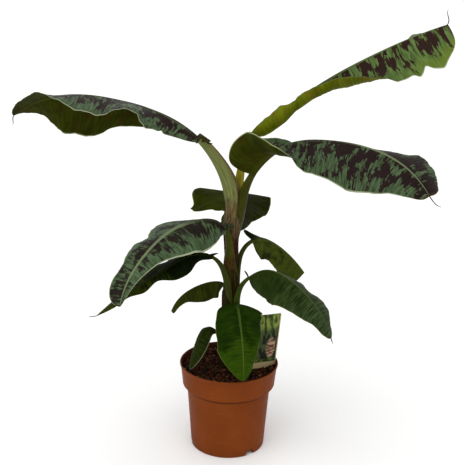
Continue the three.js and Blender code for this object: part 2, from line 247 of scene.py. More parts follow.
def pot_profile():
    """Radius and height: under the raised floor, down and round the foot ring, up the outside, over
    the rim and back in."""
    foot_corner, lip, bead = 0.0028, 0.0018, 0.0012
    return evenly([
        [FLOOR["hub"], FLOOR["under"]], [FOOT - 0.008, FLOOR["under"]],
        [FOOT - FOOT_RING["bevel"], FLOOR["under"] - FLOOR["slope"]], [FOOT - FOOT_RING["width"], 0.0],
        *arc((FOOT - foot_corner, foot_corner), foot_corner, -90, -10, 7),
        [BAND["neck"] - 0.0004, NECK_TOP - 0.002], [BAND["neck"] + 0.0004, NECK_TOP + 0.0006],
        *arc((BAND["bottom"] - bead, BAND_FOOT + 0.0002), bead, -60, 10, 5),
        [RIM - 0.0022, POT_HEIGHT - 0.0062], [RIM - 0.0006, POT_HEIGHT - 0.0048],
        *arc((RIM - lip, POT_HEIGHT - lip), lip, 0, 120, 8),
        [RIM - WALL - 0.0016, POT_HEIGHT - 0.0034], [RIM - WALL - 0.0022, POT_HEIGHT - 0.008],
        [BAND["bottom"] - WALL, BAND_FOOT + WALL], [BAND["neck"] - WALL, NECK_TOP + WALL],
        [FOOT - WALL, 0.020], [FOOT - WALL - 0.006, FLOOR["top"]], [FLOOR["hub"], FLOOR["top"]],
    ], spacing=0.0022)


def pot_rings():
    """The profile turned round the axis. Within each notch's arch the foot ring's lower edge is
    raised to the arch, H sqrt(1 - t^4) at t half widths from its middle, which leaves it open."""
    profile = pot_profile()
    under_floor = FLOOR["under"] - FLOOR["slope"]
    turns = np.linspace(0, 2 * math.pi, 721)[:-1]
    radius = np.repeat(profile[:, :1], len(turns), 1)
    height = np.repeat(profile[:, 1:], len(turns), 1)
    step = np.arange(len(profile))[:, None]
    ring = (step < len(profile) * 0.4) & (radius > FOOT - FOOT_RING["notched"])
    inside = np.repeat(step > np.argmax(profile[:, 1]), len(turns), 1)
    for n in range(NOTCH["count"]):
        middle = math.radians(NOTCH["first"] + 360 * n / NOTCH["count"])
        off = (turns - middle + math.pi) % (2 * math.pi) - math.pi
        across = np.abs(off) * FOOT / (NOTCH["width"] / 2)
        arch = NOTCH["height"] * np.sqrt(np.clip(1 - across**4, 0, 1))
        arch = np.where(radius > FOOT - FOOT_RING["outside"], arch, np.minimum(arch, under_floor))
        height = np.where(ring, np.maximum(height, arch), height)
    return np.stack([radius * np.cos(turns), radius * np.sin(turns), height], -1), inside.astype(float)


def pot_plastic():
    """Satin plastic: an even brown-orange with faint cloudiness, scuffs that run round the wall,
    dirt towards the foot, painted shade in the crease under the band, darker inside, a fine grain."""
    finish = Finish("pot_plastic", Specular_IOR_Level=0.045)
    place = finish.place()
    height = finish.part(place, "Z")
    inside = finish.attribute("inside", "Fac")
    cloud = finish.noise(place, 14, 4)
    scuffs = finish.noise(place, (30, 30, 420))
    streaks = finish.noise(place, (260, 260, 9))
    base = finish.coat((108, 50, 14), (116, 55, 17), cloud, 0.35, 0.7)
    base = finish.coat(base, (134, 74, 38), scuffs, 0.56, 0.74, 0.35)
    low = finish.between(height, 0.0, 0.03, 0.30, 0.0)
    base = finish.mix(finish.times(low, streaks), base, (76, 42, 20))
    # painted shade: a dark line round the outside at the step under the band, for the shade the band
    # casts there
    crease_shade = finish.times(finish.between(height, NECK_TOP - 0.0030, NECK_TOP - 0.0006),
                          finish.between(height, NECK_TOP + 0.0042, NECK_TOP + 0.0006, 0.0, 0.9))
    crease_shade = finish.times(crease_shade, finish.between(inside, 1.0, 0.0))
    base = finish.mix(crease_shade, base, (70, 30, 8))
    # darker all over the inside of the pot
    base = finish.mix(finish.times(inside, 0.8), base, (44, 22, 10))
    finish.colour(base)
    finish.roughness(finish.between(streaks, 0.3, 0.7, 0.42, 0.54))
    finish.bump(finish.noise(place, 900, 2), 0.0002, 0.35)
    return finish.material


pot_skin, pot_inside = pot_rings()
pot = wrapped("moulded_pot", pot_skin, pot_plastic(), inside=pot_inside)
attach(pot, "root")
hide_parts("pot")


# ---------------------------------------------------------------- the compost
# Damp bark compost that fills the pot to just under the rim: a lumpy surface, strewn with loose
# chips of bark, a few of them pale and dry.

SOIL = 0.179
SOIL_DEPTH = 0.030
SOIL_GAP = 0.0003
BAND_FLARE = (RIM - BAND["bottom"]) / BAND["height"]
SOIL_EDGE = BAND["bottom"] - WALL - SOIL_GAP + BAND_FLARE * (SOIL - BAND_FOOT)
LUMPS = ((0.0026, 0.034), (0.0019, 0.011), (0.0012, 0.0045), (0.0006, 0.002))


def lumps(x, y, size, seed):
    """Even hills and hollows, -1 to 1: a lattice of random heights, size apart, joined smoothly."""
    side = 64
    heights = np.random.default_rng(seed).uniform(-1, 1, (side, side))
    u, v = x / size + side / 2, y / size + side / 2
    i, j = np.floor(u).astype(int), np.floor(v).astype(int)
    s, t = u - i, v - j
    s, t = s * s * (3 - 2 * s), t * t * (3 - 2 * t)
    (i, after_i), (j, after_j) = (i % side, (i + 1) % side), (j % side, (j + 1) % side)
    low = heights[i, j] * (1 - s) + heights[after_i, j] * s
    high = heights[i, after_j] * (1 - s) + heights[after_i, after_j] * s
    return low * (1 - t) + high * t


def soil_height(x, y):
    """Broad swells, lumps and crumbs added up, and a shallow heap against the stem."""
    r = np.hypot(x, y)
    rough = sum(height * lumps(x, y, size, seed) for seed, (height, size) in enumerate(LUMPS, 1))
    return SOIL + rough + 0.003 * smooth(-r, -0.05, -0.02) - 0.002 * smooth(r, 0.08, SOIL_EDGE)


def compost_rings():
    """Rings from the middle of the top to the wall, down it, and back under to the middle."""
    turns = np.linspace(0, 2 * math.pi, 241)[:-1]
    radius = SOIL_EDGE * np.linspace(0.004, 1, 90)
    radius = np.append(radius, [SOIL_EDGE - 0.004, SOIL_EDGE * 0.5, 0.0005])
    x, y = radius[:, None] * np.cos(turns), radius[:, None] * np.sin(turns)
    height = soil_height(x, y)
    height[-3:] = SOIL - SOIL_DEPTH
    return np.stack([x, y, height], -1)


def compost_finish():
    """Near-black brown with redder and greyer crumbs, rough and without shine."""
    finish = Finish("compost", Roughness=0.95, Specular_IOR_Level=0.02)
    place = finish.place()
    grain = finish.noise(place, 260, 4, 0.7)
    patch = finish.noise(place, 60)
    base = finish.coat((14, 6, 4), (62, 32, 16), grain, 0.4, 0.62)
    base = finish.coat(base, (30, 20, 10), patch, 0.5, 0.7, 0.6)
    finish.colour(base)
    finish.bump(grain, 0.0012, 0.9)
    return finish.material


compost = wrapped("compost_bed", compost_rings(), compost_finish())
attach(compost, "root")
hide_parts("compost")


def bark_shade(name, colour):
    """One plain bark colour; only the grain's relief is patterned."""
    finish = Finish(name, Roughness=0.85, Base_Color=tint(*colour), Specular_IOR_Level=0.05)
    finish.bump(finish.noise(finish.place(), 700), 0.0003, 0.6)
    return finish.material


def scattered_chips(count, seed):
    """Rough eight-cornered slivers, each stretched, turned at random and laid on the soil."""
    rng = np.random.default_rng(seed)
    corners = np.array([[x, y, z] for x in (-1, 1) for y in (-1, 1) for z in (-1, 1)], float) / 2
    faces = np.array([[0, 1, 3, 2], [4, 6, 7, 5], [0, 4, 5, 1],
                      [2, 3, 7, 6], [0, 2, 6, 4], [1, 5, 7, 3]])
    reach = np.sqrt(rng.uniform(0.024**2, (SOIL_EDGE - 0.004) ** 2, count))
    angle = rng.uniform(0, 2 * math.pi, count)
    x, y = reach * np.cos(angle), reach * np.sin(angle)
    length = rng.gamma(3.0, 0.0009, count).clip(0.0013, 0.0085)
    size = np.stack([length, length * rng.uniform(0.4, 0.9, count),
                     length * rng.uniform(0.2, 0.5, count)], -1)
    shape = corners[None] * (1 + rng.uniform(-0.35, 0.35, (count, 8, 3))) * size[:, None]
    turn, tip = rng.uniform(0, 2 * math.pi, count), rng.normal(0, 0.45, count)
    c, s, ct, st = np.cos(turn), np.sin(turn), np.cos(tip), np.sin(tip)
    frames = np.stack([np.stack([c * ct, -s, c * st], -1), np.stack([s * ct, c, s * st], -1),
                       np.stack([-st, np.zeros(count), ct], -1)], 1)
    rise = soil_height(x, y) + size[:, 2] * 0.35
    points = np.einsum("nij,nkj->nki", frames, shape) + np.stack([x, y, rise], -1)[:, None]
    shades = rng.choice(4, count, p=[0.46, 0.30, 0.19, 0.05])
    all_faces = (faces[None] + 8 * np.arange(count)[:, None, None]).reshape(-1, 4)
    mesh = bpy.data.meshes.new("bark_chips")
    mesh.from_pydata(points.reshape(-1, 3), [], all_faces.tolist())
    for name, colour in (("bark_dark", (16, 8, 5)), ("bark_red", (66, 30, 15)),
                         ("bark_brown", (62, 44, 24)), ("bark_pale", (108, 76, 50))):
        mesh.materials.append(bark_shade(name, colour))
    mesh.polygons.foreach_set("material_index", np.repeat(shades, 6).astype(np.int32))
    return placed("bark_chips", mesh)


chips = scattered_chips(5200, seed=11)
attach(chips, "root")


# ---------------------------------------------------------------- the plant label
# A printed card of thin glossy plastic with rounded corners, cut in one with the pointed stake
# that holds it in the compost. It leans back and shows a plain leafy picture in a cream border.

LABEL = {"width": 0.065, "height": 0.119, "thickness": 0.0008, "corner": 0.004, "lift": 0.1805}
LABEL_PLACE = {"x": 0.073, "y": -0.0075, "turn": 35, "lean": 7.5}
STAKE = {"width": 0.014, "buried": 0.044, "point": 0.012}
BORDER = {"left": -0.0245, "right": 0.0296, "bottom": 0.0125}
PATCH = {"x": 0.013, "z": 0.044, "radius": 0.012, "soft": 0.0015, "squash": 0.55}


def label_rings():
    """Rows from the stake's point to the card's top edge. The half width is the stake's, then the
    card's with its corners rounded; the card is bowed a little about its upright middle."""
    rise = np.concatenate([np.linspace(-STAKE["buried"], -0.0006, 20),
                           LABEL["height"] * (1 - np.cos(np.linspace(0, math.pi, 90))) / 2])
    half, corner = LABEL["width"] / 2, LABEL["corner"]
    near = np.minimum(rise, LABEL["height"] - rise)
    card = half - corner + np.sqrt(corner**2 - np.clip(corner - near, 0, corner) ** 2)
    point = STAKE["width"] / 2 * np.clip((rise + STAKE["buried"]) / STAKE["point"], 0.02, 1)
    reach = np.where(rise < 0, point, card)
    share = np.linspace(-1, 1, 25)
    x = reach[:, None] * share
    z = np.repeat(rise[:, None], len(share), 1)
    across, upward = (x / half) ** 2 * smooth(z, 0, 0.03), (z / LABEL["height"]) ** 2 * (z > 0)
    bow = 0.0016 * across + 0.0022 * upward
    t = LABEL["thickness"] / 2
    front, back = np.stack([x, bow - t, z], -1), np.stack([x, bow + t, z], -1)
    rings = np.concatenate([front, back[:, ::-1]], 1)
    print_place = np.concatenate([np.stack([x, z, np.ones_like(x)], -1),
                                  np.stack([x, z, np.zeros_like(x)], -1)[:, ::-1]], 1)
    lean, turn = math.radians(LABEL_PLACE["lean"]), math.radians(LABEL_PLACE["turn"])
    place = np.array(Matrix.Translation((LABEL_PLACE["x"], LABEL_PLACE["y"], LABEL["lift"]))
                     @ Matrix.Rotation(turn, 4, "Z") @ Matrix.Rotation(lean, 4, "Y"))
    return rings @ place[:3, :3].T + place[:3, 3], print_place


def label_card():
    """Printed face: light green over dark foliage, a warm round patch striped with brown, a green
    strip of ground, and a cream border on three sides. The back is plain cream."""
    finish = Finish("label_card", Roughness=0.35, Specular_IOR_Level=0.08)
    where = finish.attribute("print_place")
    x, z = finish.part(where, "X"), finish.part(where, "Y")
    leaves = finish.noise(where, (95, 38, 1), 2, turn=0.7)
    fronds = finish.noise(where, (60, 170, 1), 2, turn=-0.5)
    dark = finish.coat((20, 25, 10), (62, 76, 38), leaves, 0.46, 0.56)
    light = finish.coat((46, 62, 20), (122, 138, 62), leaves, 0.42, 0.56)
    picture = finish.coat(dark, light, z, 0.078, 0.096)
    wide = finish.plus(x, -PATCH["x"])
    tall = finish.times(finish.plus(z, -PATCH["z"]), PATCH["squash"])
    apart = finish.math("SQRT", finish.plus(finish.times(wide, wide), finish.times(tall, tall)))
    warm = finish.coat((86, 56, 38), (164, 134, 108), fronds, 0.42, 0.58)
    picture = finish.coat(picture, warm, apart, PATCH["radius"] + PATCH["soft"],
                          PATCH["radius"] - PATCH["soft"])
    ground = finish.coat((44, 58, 22), (92, 104, 50), fronds, 0.45, 0.55)
    picture = finish.coat(picture, ground, z, 0.021, 0.017)
    plain = finish.between(finish.part(where, "Z"), 0.9, 0.8)
    for place, edge, step in ((z, BORDER["bottom"], -0.0005), (x, BORDER["left"], -0.0005),
                              (x, BORDER["right"], 0.0005)):
        plain = finish.math("MAXIMUM", plain, finish.between(place, edge, edge + step))
    finish.colour(finish.mix(plain, picture, (178, 158, 118)))
    return finish.material


label_skin, label_print = label_rings()
label = wrapped("plant_label", label_skin, label_card(), print_place=label_print)
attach(label, "root")
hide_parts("label")


# ---------------------------------------------------------------- the leaves' courses
# Every leaf is one stalk that ends in one blade, grown from a foot in the stem. The table holds
# each leaf's real lengths, its bends and the outline, slope and curl of its two half blades.


def half(width, slope, curl, lobe=(1,), ripple=1.0):
    """Half a blade: its width, and along it the slope at the midrib and the curl from there to the
    margin, in degrees up. lobe widens or narrows it, and ripple scales its waves."""
    return {"width": width, "slope": slope, "curl": curl, "lobe": lobe, "ripple": ripple}


LEAVES = [
    {"foot": (0.004, -0.006, 0.515), "stalk": 0.178, "blade": 0.4, "radius": (0.012, 0.009),
     "outline": (0.3, 0.6), "pitch": (94, 62, 42, 20, 11, -10, -41), "turn": (155, 183, 185, 181),
     "left": half(0.09, (-35, -38, -18, 10, -2, -6, 14, 29, 34),
         (-20, -20, -20, -20, -20, -15, -5, 0, 0), (0.38, 0.48, 0.66, 0.9, 0.98, 1, 0.95, 1, 1)),
     "right": half(0.1, (-60, -64, -62, -50, -62, -72, -72, -45, -20),
         (-20, -25, -30, -25, -20, -10, 0, 0, 0), (0.25, 0.33, 0.4, 0.62, 0.95, 1.03, 1.12, 1, 0.3))},
    {"foot": (0.009, -0.005, 0.534), "stalk": 0.156, "blade": 0.441, "radius": (0.009, 0.008),
     "outline": (0.3, 0.3), "pitch": (66, 80, 37, 37, 30, 26, 19), "turn": (88, 2, -9, -2),
     "left": half(0.08, (-70, -70, -72, -68, -55, -34, -12, -8, -8),
         (-20, -20, -20, -20, -20, -15, 0, 0, 0), (0.25, 0.3, 0.28, 0.25, 0.38, 0.7, 0.9, 1, 1)),
     "right": half(0.104, (-140, -138, -128, -112, -82, -70, -48, -36, -40),
         (330, 320, 290, 225, 152, 90, 18, -15, -20), (1.5, 1.05, 0.6, 0.56, 0.9, 1, 1, 1.1, 1))},
    {"foot": (0.011, 0.001, 0.51), "stalk": 0.109, "blade": 0.436, "radius": (0.01, 0.008),
     "outline": (0.2, 0.32), "pitch": (84, 60, 38, 11, -2, -23, -55), "turn": (-50, -37, -33, -34),
     "left": half(0.084, (78, 40, -14, -24, -30, -24, 4, 15, 20),
         (-10, -15, -30, -40, -40, -35, -20, -20, -20), (1.1, 0.76, 0.78, 0.95, 1, 1, 1, 1.08, 1.05)),
     "right": half(0.098, (20, 8, -60, -60, -27, -28, -25, -20, -15),
         (20, 95, 140, 45, -40, -40, -35, -30, -20), (1, 0.88, 0.84, 0.76, 0.87, 1.05, 1.02, 0.87, 0.6))},
    {"foot": (0.003, 0.007, 0.456), "stalk": 0.116, "blade": 0.245, "radius": (0.008, 0.0065),
     "outline": (0.15, 0.5), "pitch": (68, 68, -4, -34, -39, -46, -46), "turn": (78, 90, 88, 90),
     "left": half(0.096, (9, 2, -8, -15, -15), (-5, -20, -30, -30, -30),
         (0.95, 1, 0.97, 1, 0.36, 0.5, 0.62, 0.6, 0.5)),
     "right": half(0.078, (-2, -5, -12, -15, -15), (-10, -20, -30, -30, -30),
         (1, 1, 1, 0.98, 0.85, 0.7, 0.65, 0.6, 0.5))},
    {"foot": (-0.003, -0.011, 0.417), "stalk": 0.08, "blade": 0.332, "radius": (0.009, 0.0065),
     "outline": (0.28, 0.6), "pitch": (99, 64, 8, -10, -35, -44, -55),
     "turn": (-75, -144, -138, -136, -104),
     "left": half(0.074, (-30, -20, -10, -10, -20), (-30,),
         (0.5, 0.85, 1, 1, 0.86, 0.62, 0.46, 0.36, 0.3)),
     "right": half(0.08, (-12, -11, -6, 0, -6, 6, 20, 22, 20), (-30, -30, -25, -20, -20),
         (0.8, 1, 1.06, 1.04, 0.72, 0.86, 0.52, 0.8, 1.2))},
    {"foot": (-0.001, -0.016, 0.351), "stalk": 0.102, "blade": 0.278, "radius": (0.0055, 0.005),
     "outline": (0.3, 0.8), "pitch": (84, 62, 13, -23, -25, -30, -29), "turn": (-148, -150, -150, -159),
     "left": half(0.038, (-20, -30, -30, -30, -10), (-40, -40, -40, -30, -30),
         (0.5, 0.5, 0.92, 0.86, 0.38, 0.6, 0.3, 0.5, 0.5)),
     "right": half(0.05, (-10, -3, 5, 5, 0), (-30, -30, -20, -20, -20))},
    {"foot": (0.011, 0.005, 0.37), "stalk": 0.101, "blade": 0.173, "radius": (0.0065, 0.005),
     "outline": (0.2, 0.25), "pitch": (83, 72, 20, -20, -38, -48, -55), "turn": (55, 44, 27, 20),
     "left": half(0.06, (30, 0, -20, -30, -30), (-30,)),
     "right": half(0.05, (-80, -85, -90, -90, -80), (-10,), (1, 0.98, 0.82, 0.8, 0.95, 1.15, 1.25))},
    {"foot": (0.013, -0.014, 0.33), "stalk": 0.08, "blade": 0.255, "radius": (0.0055, 0.0045),
     "outline": (0.28, 0.55), "pitch": (90, 50, 29, -12, -34, -51, -75), "turn": (-56, -40, -33, -18),
     "left": half(0.056, (-8, -16, -12, 6, 12), (-30,), (1, 1, 1.02, 1.08, 1.1)),
     "right": half(0.058, (-50, -50, -26, -4, 0), (-30, -30, -30, -20, -20),
         (1, 1.1, 1.12, 1.1, 1, 1, 1.05, 1.05, 1))},
    {"foot": (-0.004, 0.009, 0.342), "stalk": 0.023, "blade": 0.173, "radius": (0.006, 0.005),
     "outline": (0.05, 0.2), "pitch": (93, 2, -22, -31, -41, -54, -69), "turn": (148, 147, 152, 153),
     "left": half(0.044, (-84, -80, -74, -70, -65), (-10,), (0.84, 0.82, 0.88, 0.76, 0.52, 0.42, 0.46)),
     "right": half(0.028, (-36,), (-10,), (0.9, 0.96, 0.96, 0.84, 0.6, 0.5, 0.46))},
    {"foot": (0.007, -0.015, 0.308), "stalk": 0.029, "blade": 0.181, "radius": (0.006, 0.005),
     "outline": (0.12, 0.6), "pitch": (112, 10, -42, -42, -61, -76, -91), "turn": (-72, -78, -80, -73),
     "left": half(0.056, (-6, -8, -10, 0, 0), (-30,), (1.1, 1, 1, 0.95, 0.88, 0.86, 0.84, 0.78, 0.7)),
     "right": half(0.062, (6, -6, -10, 0, 0), (-30, -30, -30, -20, -20),
         (0.72, 0.75, 0.85, 0.94, 1.06, 1.1, 1.08, 1, 0.9))},
    {"foot": (-0.011, -0.01, 0.232), "stalk": 0.041, "blade": 0.124, "radius": (0.0045, 0.0035),
     "outline": (0.3, 0.5), "pitch": (63, 61, 32, -43, -66, -68, -69), "turn": (-154, -144, -133, -162),
     "left": half(0.024, (-10, -10, -10, 0, 0), (-30,)),
     "right": half(0.013, (-10, -10, -10, 0, 0), (-30, -30, -30, -20, -20))},
]


def leaf_axes(leaf, u):
    """The midrib's direction at u (0 at the foot, 1 at the tip), the way left of it, and the way up
    from the blade: pitch lifts the direction above level, turn swings it from +X."""
    pitch, turn = np.radians(eased(leaf["pitch"], u)), np.radians(eased(leaf["turn"], u))
    along = np.stack([np.cos(pitch) * np.cos(turn), np.cos(pitch) * np.sin(turn), np.sin(pitch)], -1)
    left = np.stack([-np.sin(turn), np.cos(turn), np.zeros_like(turn)], -1)
    return along, left, np.cross(along, left)


def share_at(leaf, reach):
    """The share u of the whole leaf, at a number of metres along it from the foot."""
    return reach / (leaf["stalk"] + leaf["blade"])


def leaf_course(leaf, u):
    """The midrib's place at u: short straight steps added up from the foot."""
    count = 960
    along = leaf_axes(leaf, (np.arange(count) + 0.5) / count)[0]
    steps = along * (leaf["stalk"] + leaf["blade"]) / count
    points = np.vstack([[leaf["foot"]], leaf["foot"] + np.cumsum(steps, axis=0)])
    shares = np.linspace(0, 1, count + 1)
    return np.stack([np.interp(u, shares, points[:, axis]) for axis in range(3)], -1)


# ---------------------------------------------------------------- the false stem
# Leaf sheaths wrapped one over the other from the compost to the fork, each with two edges that
# run slanting down and round the stem. They have dried brown and papery, but for an olive part
# below each of the lower stalks.

STEM_TOP = 0.542
STEM_RADIUS = (0.023, 0.019, 0.0175, 0.017, 0.015, 0.014, 0.015, 0.0165, 0.014)
STEM_LEAN = (0.004, 0.003, 0.003, 0.002, 0.001, 0.0, -0.001, 0.0, 0.003)
SHEATH = {"thickness": 0.0011, "above": 0.012, "half_turn": 0.75, "spread": 5.2, "edge": 0.09}


def up_stem(z):
    """A height as a share of the stem, 0 at the compost and 1 at the fork."""
    return (z - SOIL) / (STEM_TOP - SOIL)


def stem_axis(z):
    """How far along X the stem's axis stands at a height."""
    return eased(STEM_LEAN, up_stem(z))


def stem_skin():
    """Radius by height and turn: the taper, one step out for each sheath that covers the place, a
    bulge where a stalk is about to leave, and fine upright ribs. Youngest sheaths lie innermost."""
    turns = np.linspace(-math.pi, math.pi, 169)[:-1]
    heights = np.linspace(SOIL - 0.006, STEM_TOP, 330)
    z, turn = np.meshgrid(heights, turns, indexing="ij")
    below = np.full_like(z, 0.25)
    edge = np.ones_like(z)
    which, layers, bulge = np.zeros_like(z), np.zeros_like(z), np.zeros_like(z)
    for number, leaf in enumerate(LEAVES):
        towards = math.radians((leaf["turn"][0] + leaf["turn"][1]) / 2)
        off = np.abs((turn - towards + math.pi) % (2 * math.pi) - math.pi)
        depth = leaf["foot"][2] + SHEATH["above"] - z
        wave = 0.10 * np.sin(46 * z + 1.7 * number) + 0.05 * np.sin(131 * z + number)
        reach = SHEATH["half_turn"] + SHEATH["spread"] * np.clip(depth, 0, None) ** 0.8 + wave
        inside = reach - off
        cover = smooth(inside, 0.0, SHEATH["edge"]) * smooth(depth, 0.0, 0.004)
        layers += cover * smooth(depth, 0.24, 0.12)
        covered = (inside > 0) & (depth > 0)
        below = np.where(covered, depth, below)
        edge = np.where(covered, np.minimum(inside / 0.30, 1), edge)
        which = np.where(covered, number + 1.0, which)
        lift = np.exp(-((off / SHEATH["half_turn"]) ** 2)) * smooth(depth, 0.10, 0.0) * (depth > 0)
        bulge = np.maximum(bulge, 0.75 * leaf["radius"][0] * lift)
    ribs = 0.00016 * np.sin(34 * turn + 3 * np.sin(17 * z)) + 0.00010 * np.sin(71 * turn + 40 * z)
    flare = 0.0012 * smooth(-z, -SOIL - 0.02, -SOIL)
    radius = eased(STEM_RADIUS, up_stem(z)) - 0.0022 + SHEATH["thickness"] * layers + 0.35 * bulge
    radius += ribs + flare
    skin = np.stack([stem_axis(z) + radius * np.cos(turn), radius * np.sin(turn), z], -1)
    return skin, np.stack([below, edge, which], -1)


def stem_finish():
    """Colour by height: khaki with pale streaks near the fork, dark red-brown low down. The outer,
    older sheaths (5 and on) are olive at first below their stalk, and every sheath's edge is
    papery. Dark and pale streaks run up and down."""
    finish = Finish("stem", Roughness=0.6, Specular_IOR_Level=0.025)
    place = finish.place()
    sheath = finish.attribute("sheath")
    below, edge, which = (finish.part(sheath, axis) for axis in "XYZ")
    height = finish.part(place, "Z")
    streak = finish.noise(place, (330, 330, 14), 4)
    fine = finish.noise(place, (900, 900, 50), 2)
    patch = finish.noise(place, (60, 60, 22))
    high = finish.between(finish.plus(height, finish.times(patch, 0.03)), 0.470, 0.510)
    middle = finish.between(height, 0.33, 0.40)
    brown = finish.mix(high, finish.mix(middle, (22, 7, 1), (46, 18, 4)), (86, 72, 48))
    olive = finish.mix(high, finish.mix(middle, (32, 28, 4), (48, 46, 8)), (82, 78, 30))
    green = finish.times(finish.between(which, 4.4, 4.6), finish.between(below, 0.11, 0.03))
    base = finish.mix(green, brown, olive)
    dark = finish.mix(high, (14, 4, 0), (48, 36, 14))
    base = finish.coat(base, dark, streak, 0.48, 0.62, 0.85)
    pale = finish.mix(high, (70, 54, 22), (126, 112, 84))
    base = finish.coat(base, pale, fine, 0.52, 0.66, 0.65)
    papery = finish.mix(high, (66, 46, 16), (124, 106, 76))
    base = finish.coat(base, papery, edge, 0.22, 0.04, 0.6)
    finish.colour(base)
    finish.bump(finish.plus(streak, finish.times(fine, 0.5)), 0.0006, 0.6)
    return finish.material


stem_points, stem_sheaths = stem_skin()
stem = wrapped("sheathed_stem", stem_points, stem_finish(), sheath=stem_sheaths)
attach(stem, "root")
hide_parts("stem")


# ---------------------------------------------------------------- the stalks
# Each leaf stalk is a stiff, juicy channel: round underneath, hollowed on top between two raised
# margins, and widened at its foot into the sheath that it grows from.

STALK_RUN = 0.062
STALK_END = 0.002
# for each: its green, its margins' colour, and the swell, lips and dry_below of its skin and finish
STALK_LOOKS = [
    ((90, 95, 52), (118, 80, 58), 0.7, 1.3, 0.24), ((126, 122, 28), (134, 116, 44), 0.1, 0.0, 0.20),
    ((46, 48, 8), (84, 78, 34), 0.75, 0.0, 0.12), ((40, 47, 8), (54, 48, 20), 0.0, 0.0, 0.0),
    ((50, 52, 9), (84, 48, 22), 0.45, 0.0, 0.22), ((40, 46, 7), (62, 60, 24), 0.9, 0.0, -0.7),
    ((44, 54, 11), (58, 54, 22), 0.0, 0.0, 0.0), ((42, 54, 9), (56, 56, 16), 0.6, 0.0, -0.5),
    ((38, 46, 9), (48, 44, 15), 0.0, 0.0, 0.0), ((54, 70, 12), (62, 64, 20), 0.0, 0.0, -0.2),
    ((30, 38, 8), (40, 36, 14), 0.0, 0.0, 0.0),
]


def channel(q):
    """Height of a stalk's upper side by its share q out from the middle (0) to the margin (1), in
    radii: a lip near each margin and a hollow between them."""
    q = np.clip(q, 0, 1)
    return 0.42 * np.sin(math.pi * q) ** 0.8 - 0.34 * (1 - q) ** 2.5


def stalk_skin(leaf, swell, lips):
    """The channelled section carried along the course, after a run up inside the sheath where the
    section is wider, flatter and sinks into the stem. swell thickens it round the foot, and lips
    raises its margins until just short of the blade."""
    run = np.linspace(-1, 0, 26)[:-1]
    rise = np.linspace(0, 1, 70)
    share = np.concatenate([run, rise])[:, None]
    u = share_at(leaf, rise * (leaf["stalk"] + STALK_END))
    left, up = (np.vstack([np.repeat(way[:1], len(run), 0), way])[:, None]
                for way in leaf_axes(leaf, u)[1:])
    foot = np.array(leaf["foot"])
    sunk = np.repeat(foot[None], len(run), 0)
    sunk[:, 2] += run * STALK_RUN
    sunk[:, :2] += (foot[:2] - [stem_axis(foot[2]), 0]) * 1.1 * run[:, None]
    sunk[:, 0] += stem_axis(sunk[:, 2]) - stem_axis(foot[2])
    place = np.vstack([sunk, leaf_course(leaf, u)])[:, None]
    radius = leaf["radius"][0] + (leaf["radius"][1] - leaf["radius"][0]) * np.clip(share, 0, 1)
    wide = radius * (1 + 0.75 * smooth(-share, -0.7, 0.5))
    swollen = swell * smooth(share, -0.3, 0.35) * smooth(-share, -1.1, -0.2)
    deep = radius * (1 + swollen - 0.45 * np.clip(-share, 0, 1))
    angle = np.linspace(0, math.pi, 19)[:-1]
    x = np.concatenate([-np.cos(angle), np.cos(angle)])
    q = np.abs(np.cos(angle))
    lipped = 1 + lips * smooth(share, -0.4, 0.1) * smooth(-share, -1.0, -0.85)
    raised = smooth(share, -0.6, 0.5) * lipped
    y = np.concatenate([np.repeat(-np.sin(angle)[None], len(share), 0), channel(q) * raised], 1)
    rings = place - left * (wide * x)[..., None] + up * (deep * y)[..., None]
    margin = np.concatenate([np.zeros_like(angle), np.exp(-((q - 0.55) / 0.16) ** 2)])
    return rings, np.stack(np.broadcast_arrays(share, margin, x), -1)


def stalk_finish(number, green, pink, dry_below):
    """Satin green with fine lengthwise streaks and pinkish brown margins. Below its share dry_below
    it is as dry, brown and streaked as the sheath."""
    finish = Finish(f"stalk_{number}", Roughness=0.45, Specular_IOR_Level=0.04)
    place = finish.place()
    shares = finish.attribute("stalk_share")
    share, margin = finish.part(shares, "X"), finish.part(shares, "Y")
    across = finish.part(shares, "Z")
    streak = finish.noise(finish.add("CombineXYZ", {0: share, 1: finish.times(across, 7.0)}), 2.6, 4)
    patch = finish.noise(place, 90)
    pale = [int(level * 1.22 + 8) for level in green]
    base = finish.coat(green, pale, streak, 0.35, 0.7)
    base = finish.coat(base, pink, margin, 0.2, 1.0, 0.9)
    foot = finish.between(finish.plus(share, finish.times(patch, 0.3)),
                          dry_below + 0.22, dry_below + 0.04)
    grain = finish.noise(place, (620, 620, 26))
    khaki = (np.array(green) + pink) / 2
    dry = finish.coat(khaki * 0.45, khaki * 1.1, grain, 0.34, 0.64)
    base = finish.mix(foot, base, dry)
    finish.colour(base)
    finish.bump(streak, 0.0004, 0.5)
    return finish.material


for number, (leaf, looks) in enumerate(zip(LEAVES, STALK_LOOKS), 1):
    green, pink, swell, lips, dry_below = looks
    stalk_points, stalk_shares = stalk_skin(leaf, swell, lips)
    stalk = wrapped(f"leaf_stalk_{number}", stalk_points, stalk_finish(number, green, pink, dry_below),
                    stalk_share=stalk_shares)
    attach(stalk, "root")
    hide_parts(f"stalk_{number}")


# ---------------------------------------------------------------- the blades
# Thin, soft leaf blades: a midrib that is round below and grooved above, close parallel veins that
# run out from it to a thin pale margin, and slow waves along the margins. The upper sides of the
# upper leaves are blotched dark maroon on blue-green; the undersides are plain olive.

BLADE_THICKNESS = 0.0007
ROW_SPACING = 0.0017
SWEEP = 0.15
# lengths and heights of the slow waves of the margins, and of the fine pleats between the veins
WAVES = ((0.083, 0.0030), (0.047, 0.0016), (0.021, 0.0006))
PLEATS = ((0.0066, 0.00020), (0.0112, 0.00022))
